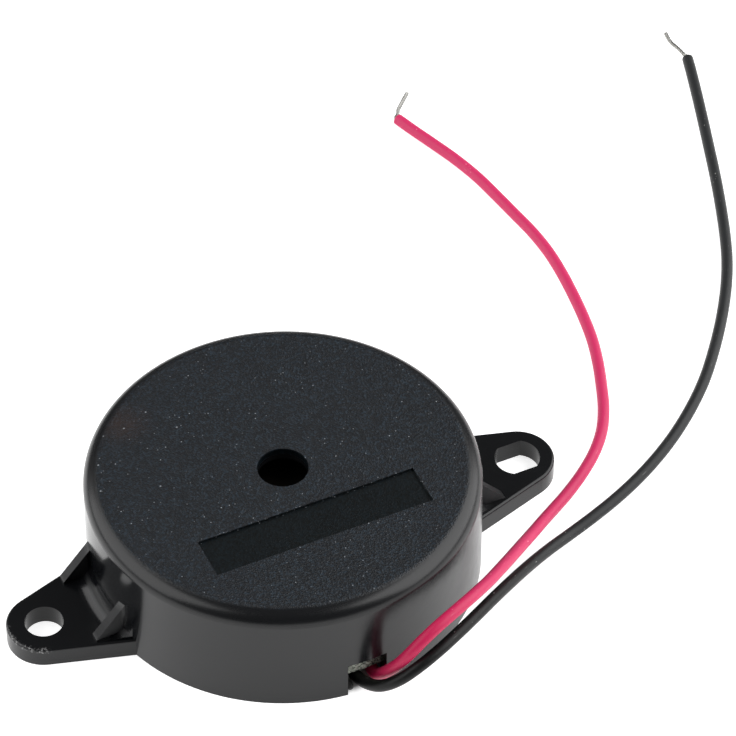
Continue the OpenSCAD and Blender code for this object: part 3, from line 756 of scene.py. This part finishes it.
# %% [markdown]
# The board is glass cloth in resin. Its face shows the weave as faint squares,
# and its sawn edge shows the cut ends of the threads as pale flecks. Threads
# could be modelled, but at less than a millimetre a pattern looks the same. Two
# waves at right angles make the weave, and a noise squeezed in height makes the
# flecks. The distance from the axis tells the sawn edge from the faces.

# %% Circuit board
BOARD_R = float(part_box("circuit_board")[1][0])
THREAD = 0.9 * MM


def stretched(f, width, depth, height):
    """Object coordinates counted in patches of the given size along X, Y and Z."""
    inputs = {0: f.place, 1: (1 / width, 1 / depth, 1 / height)}
    return f.add("VectorMath", {"operation": "MULTIPLY"}, inputs)


def laminate():
    """Yellow-green resin over a weave, and pale flecks on the sawn edge."""
    f = Finish("glass_laminate", IOR=1.55)
    x, y = f.parts(f.place)[:2]
    edge = f.from_axis().rise(BOARD_R - 0.12 * MM, BOARD_R - 0.04 * MM)
    weave = (x.wave(THREAD) + y.wave(THREAD)) / 4 + 0.5
    resin = f.mix(weave.rise(0.2, 0.9), shade(104, 112, 70), shade(132, 138, 92))
    fleck = f.noise(1, 2.0, vector=stretched(f, 0.3 * MM, 0.3 * MM, 0.14 * MM), rough=0.7)
    sawn = f.mix(fleck.rise(0.4, 0.58), shade(72, 80, 70), shade(200, 206, 192))
    away, luck = f.cells(0.3 * MM)
    sawn = f.mix(away.rise(0.35, 0.15) * luck.rise(0.6, 0.7), sawn, shade(244, 226, 222))
    f.set(
        Base_Color=f.mix(edge, resin, sawn),
        Roughness=0.32 + edge * 0.4,
        Normal=f.bump(weave * 0.3 * (1 - edge) + fleck * edge, 0.06 * MM),
    )
    return f


paint(laminate(), "circuit_board")

# %% [markdown]
# The tracks are copper foil under a thin lacquer, and solder sits on their
# pads. Both are metals, so their colour is the colour of what they mirror. The
# lacquer could be a second surface over the first, but a coat is made for this.
# Fresh solder shines, and goes frosty where it cooled slowly.

# %% Tracks and solder


def copper_foil():
    """Stained copper under a clear coat that is thicker over the stains."""
    f = Finish("copper_foil", Metallic=1.0, Coat_Roughness=0.15)
    stain = f.noise(1.2 * MM, 4.0, rough=0.6)
    f.set(
        Base_Color=f.mix(stain.rise(0.3, 0.75), shade(206, 132, 92), shade(158, 92, 60)),
        Roughness=0.3 + 0.2 * stain,
        Coat_Weight=0.4 + 0.3 * stain,
        Normal=f.bump(f.noise(0.12 * MM, 2.0), 0.004 * MM),
    )
    return f


def solder():
    """Bright metal with frosty patches."""
    f = Finish("solder", Metallic=1.0)
    frost = f.noise(0.5 * MM, 3.0)
    f.set(
        Base_Color=f.mix(frost, shade(168, 168, 170), shade(222, 222, 224)),
        Roughness=0.14 + 0.3 * frost.rise(0.35, 0.7),
        Normal=f.bump(f.noise(0.2 * MM, 2.0), 0.01 * MM),
    )
    return f


paint(copper_foil(), "copper_tracks")
paint(solder(), "board_solder_joints", "lead_solder_joints", "sounder_solder_dots")

# %% [markdown]
# Three adhesives hold the buzzer together. White silicone beds the diaphragm,
# milky hot glue holds the board's edge, and a dab of something dark and rough
# seals the leads in the notch. Glue lets light in, which the shader's subsurface
# could show. But nothing of it is thick enough for that to be seen, so most of
# its look comes from lumps in the bump, and only the clearest one is glossy.

# %% Adhesives


def adhesive(name, low, high, lump, relief, rough):
    """Soft lumps `lump` metres wide and `relief` high, in two close colours. The
    smoothest places have the roughness `rough`."""
    f = Finish(name, IOR=1.45)
    swell = f.noise(lump, 2.0)
    speck = f.noise(lump / 5, 2.0)
    f.set(
        Base_Color=f.mix(speck.rise(0.3, 0.75), low, high),
        Roughness=rough + 0.25 * speck,
        Normal=f.bump(swell + 0.15 * speck, relief),
    )
    return f


silicone = adhesive(
    "white_silicone", shade(206, 206, 200), shade(228, 228, 224),
    lump=1.5 * MM, relief=0.15 * MM, rough=0.3,
)
hot_glue = adhesive(
    "hot_glue", shade(196, 184, 146), shade(224, 214, 182),
    lump=1.2 * MM, relief=0.2 * MM, rough=0.1,
)
sealant = adhesive(
    "dark_sealant", shade(5, 5, 5), shade(24, 24, 22),
    lump=0.4 * MM, relief=0.25 * MM, rough=0.3,
)
paint(silicone, "diaphragm_adhesive")
paint(hot_glue, "board_adhesive")
paint(sealant, "lead_adhesive")

# %% [markdown]
# The sounder is a sandwich. The brass was rolled, which leaves fine lines all
# one way. The anisotropic input of the shader could stretch its highlights, but
# a noise that is long in X and short in Y also shows the lines. The ceramic is
# fired and matt, and the silver on it was printed through a screen, which
# leaves the faint dots of the mesh. Below the sound hole the brass is painted
# nearly black, as painted shade for the dark hole above it.

# %% Sounder
SCREEN = 0.25 * MM


def rolled_brass():
    """Brass with lines along X, tarnished in patches, with painted shade in the middle."""
    f = Finish("rolled_brass", Metallic=1.0)
    line = f.noise(1, 3.0, vector=stretched(f, 6 * MM, 0.07 * MM, 1 * MM))
    tarnish = f.noise(5 * MM, 3.0).rise(0.3, 0.75)
    # painted shade: the brass under the sound hole is painted nearly black
    hole_shade = (f.from_axis() + 2 * MM * tarnish).rise(8 * MM, 6 * MM)
    metal = f.mix(tarnish, shade(186, 156, 92), shade(140, 108, 58))
    f.set(
        Base_Color=f.mix(hole_shade, metal, shade(22, 20, 18)),
        Roughness=0.2 + 0.12 * line + 0.1 * tarnish + 0.1 * hole_shade,
        Normal=f.bump(line, 0.003 * MM),
    )
    return f


def fired_ceramic():
    """Matt cream, cloudy and finely speckled."""
    f = Finish("fired_ceramic")
    grain = f.noise(0.12 * MM, 2.0)
    cloud = f.noise(3 * MM) * 0.6 + grain * 0.4
    f.set(
        Base_Color=f.mix(cloud, shade(212, 202, 172), shade(230, 222, 198)),
        Roughness=0.5 + 0.2 * grain,
        Normal=f.bump(grain, 0.01 * MM),
    )
    return f


def printed_silver():
    """Pale paste with the dots of a screen that was laid at 45 degrees."""
    f = Finish("printed_silver", Metallic=0.85)
    x, y = f.parts(f.place)[:2]
    mesh = (x + y).wave(SCREEN) * (x - y).wave(SCREEN)
    cloud = f.noise(2 * MM, 3.0)
    f.set(
        Base_Color=f.mix(cloud, shade(176, 176, 172), shade(206, 206, 202)),
        Roughness=0.42 + 0.15 * cloud,
        Normal=f.bump(mesh * 0.5 + f.noise(0.1 * MM), 0.004 * MM),
    )
    return f


paint(rolled_brass(), "diaphragm_plate")
paint(fired_ceramic(), "piezo_ceramic")
paint(printed_silver(), "main_electrode", "feedback_electrode")

# %% [markdown]
# Three fine wires carry the signal from the board up to the sounder, each in a
# colour of its own. The leads' finish could be used again, but nobody touches
# these wires, so their skin is smoother and has no nicks.

# %% Fine wires


def fine_wire(name, low, high):
    """Clean thin insulation in two close colours."""
    f = Finish(name, IOR=1.5)
    cloud = f.noise(0.8 * MM, 2.0)
    f.set(
        Base_Color=f.mix(cloud.rise(0.3, 0.7), low, high),
        Roughness=0.28 + 0.15 * cloud,
        Normal=f.bump(f.noise(0.25 * MM), 0.006 * MM),
    )
    return f


paint(fine_wire("red_wire_skin", shade(186, 34, 32), shade(206, 44, 40)), "main_wire")
paint(fine_wire("blue_wire_skin", shade(30, 60, 150), shade(44, 76, 172)), "feedback_wire")
paint(fine_wire("black_wire_skin", shade(20, 20, 21), shade(32, 32, 33)), "ground_wire")

# %% [markdown]
# The transistor is moulded epoxy, dull and black. The choke is a bobbin of
# ferrite, which is pressed from powder and looks like fine dark stone, with
# enamelled copper wound on it. The winding could be a helix of hundreds of
# turns. As a plain cylinder with a wave up its height it looks the same, and a
# coat over the turns stands for the enamel. The same wave paints the groove
# between each two turns darker, as painted shade.

# %% Transistor and choke
WINDING_D = 0.15 * MM


def moulded_epoxy():
    """Dull black with a fine grain."""
    f = Finish("moulded_epoxy")
    grain = f.noise(0.15 * MM, 3.0)
    f.set(
        Base_Color=f.mix(grain, shade(20, 20, 21), shade(38, 38, 39)),
        Roughness=0.5 + 0.2 * grain,
        Normal=f.bump(grain, 0.02 * MM),
    )
    return f


def sintered_ferrite():
    """Dark grey, speckled and rough."""
    f = Finish("sintered_ferrite")
    grain = f.noise(0.2 * MM, 4.0, rough=0.7)
    f.set(
        Base_Color=f.mix(grain.rise(0.3, 0.7), shade(42, 42, 45), shade(70, 70, 74)),
        Roughness=0.55 + 0.25 * grain,
        Normal=f.bump(grain, 0.03 * MM),
    )
    return f


def copper_winding():
    """Turns of enamelled wire, one above the other, with painted shade between them."""
    f = Finish("enamelled_winding", Metallic=0.6, Coat_Roughness=0.1)
    turn = f.parts(f.place)[2].wave(WINDING_D) * 0.5 + 0.5
    f.set(
        # the wave paints the groove between turns darker: painted shade
        Base_Color=f.mix(turn, shade(96, 42, 22), shade(184, 96, 52)),
        Roughness=0.3 + 0.2 * f.noise(0.4 * MM),
        Coat_Weight=0.3 + 0.4 * turn,
        Normal=f.bump(turn, 0.05 * MM),
    )
    return f


paint(moulded_epoxy(), "transistor_body")
paint(sintered_ferrite(), "choke_core")
paint(copper_winding(), "choke_winding")

# %% [markdown]
# A resistor tells its value by rings of colour on pale lacquer, and the diode
# marks its cathode by one black ring on amber glass. Rings could be thin tubes
# over the body, but paint has no thickness to see. So each is a mask at its
# distance from the middle of the body, which the box of the node gives.

# %% Ringed bodies
LACQUER = (shade(150, 186, 200), shade(166, 200, 212))
AMBER_GLASS = (shade(176, 84, 40), shade(204, 112, 62))
BROWN, BLACK, GOLD = shade(104, 58, 30), shade(22, 22, 22), shade(178, 142, 70)
ORANGE, YELLOW = shade(214, 112, 34), shade(216, 190, 50)
ALONG_X, ALONG_Y = 0, 1
RINGS_AT = (-2.3 * MM, -1.1 * MM, 0.0, 2.2 * MM)


def ringed(name, node, axis, body, rings, half, rough, **constants):
    """Paints a lacquered or glass body with rings, `half` wide to both sides. A
    ring is its distance from the middle along the axis, and its colour."""
    f = Finish(name, **constants)
    low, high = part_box(node)
    along = f.parts(f.place)[axis] - float(low[axis] + high[axis]) / 2
    cloud = f.noise(0.9 * MM, 2.0)
    colour = f.mix(cloud, *body)
    for distance, ring in rings:
        colour = f.mix(along.near(distance, half), colour, ring)
    f.set(
        Base_Color=colour,
        Roughness=rough + 0.12 * cloud,
        Normal=f.bump(f.noise(0.5 * MM), 0.02 * MM),
    )
    paint(f, node)


def resistor(name, *code):
    """Paints three rings for the value, and one for the tolerance."""
    rings = zip(RINGS_AT, code)
    ringed(name, f"{name}_body", ALONG_X, LACQUER, rings, half=0.25 * MM, rough=0.2)


resistor("bias_resistor", YELLOW, BROWN, ORANGE, GOLD)
resistor("feedback_resistor", BROWN, BLACK, ORANGE, GOLD)
ringed(
    "glass_diode", "diode_body", ALONG_Y, AMBER_GLASS, [(1.3 * MM, BLACK)],
    half=0.3 * MM, rough=0.05, IOR=1.5,
)
named = {piece.active_material.name for piece in nodes.values()}
print(len(nodes), "solids share the finishes", sorted(named))

# %% [markdown]
# The table is a white sheet on a dark ground. It gives out light of its own, as
# opal glass lit from below does, which washes out the shadows. More lamps could
# do that as well, but each would show in the polished case. The sheet gives no
# light under the case, where it is covered, and beyond a hand's breadth it
# fades into the ground.

# %% Table
TABLE_HALF = 2.0  # metres from the middle to each side
SHEET_IN, SHEET_OUT = 80 * MM, 260 * MM
SHEET = (0.7, 0.7, 0.7, 1.0)
GLOW = (1.0, 1.0, 1.0, 1.0)
GROUND, NO_GLOW = shade(60, 60, 60), shade(0, 0, 0)


def add_floor():
    """One square face at height 0."""
    corners = TABLE_HALF * np.array([[-1, -1, 0], [1, -1, 0], [1, 1, 0], [-1, 1, 0]])
    mesh = bpy.data.meshes.new("floor")
    mesh.from_pydata(corners.tolist(), [], [(0, 1, 2, 3)])
    floor = bpy.data.objects.new("floor", mesh)
    scene.collection.objects.link(floor)
    return floor


def white_sheet():
    """White and glowing round the buzzer, and dull dark ground further out."""
    f = Finish("white_table")
    lit = f.from_axis(*VIEW_MIDDLE[:2].tolist()).rise(SHEET_OUT, SHEET_IN)
    uncovered = lit * f.from_axis().rise(CASE_R - 1 * MM, CASE_R)
    f.set(
        Base_Color=f.mix(lit, GROUND, SHEET),
        Roughness=0.7,
        Emission_Color=f.mix(uncovered, NO_GLOW, GLOW),
        Emission_Strength=0.75,
    )
    return f


paint(white_sheet(), add_floor())

# %% [markdown]
# Two wide soft lights stand left and right, and nothing stands in front or
# hangs above. So the polished wall mirrors the sheet in front of it, and the
# rounded edge mirrors the two lights. A picture of a studio all round could do
# the same, but two lamps can be moved one at a time until each reflection lies
# where it should. A little grey light from everywhere fills the darkest places,
# and the Standard view shows white as white.

# %% Lights
AMBIENT = (0.15, 0.15, 0.15, 1.0)


def add_softbox(name, azimuth, elevation, distance, width, height, power):
    """A soft area light that looks at the buzzer. Its azimuth is an angle from the
    camera's, in degrees, its sizes are metres and its power is watts."""
    a, e = AZIMUTH + math.radians(azimuth), math.radians(elevation)
    way = np.array([math.sin(a) * math.cos(e), -math.cos(a) * math.cos(e), math.sin(e)])
    light = bpy.data.lights.new(name, "AREA")
    light.shape = "RECTANGLE"
    light.size, light.size_y = width, height
    light.energy = power
    lamp = bpy.data.objects.new(name, light)
    scene.collection.objects.link(lamp)
    lamp.location = Vector(VIEW_MIDDLE + distance * way)
    lamp.rotation_euler = Vector(-way).to_track_quat("-Z", "Y").to_euler()
    print(f"{name}: {power} W, {distance} m away")


add_softbox("right_light", 97, 37, distance=0.8, width=1.25, height=0.96, power=14.5)
add_softbox("left_light", -88, 35, distance=0.8, width=1.1, height=0.89, power=9)

world = bpy.data.worlds.new("studio")
scene.world = world
world.use_nodes = True
world.node_tree.nodes["Background"].inputs["Color"].default_value = AMBIENT
scene.view_settings.view_transform = "Standard"

# %% [markdown]
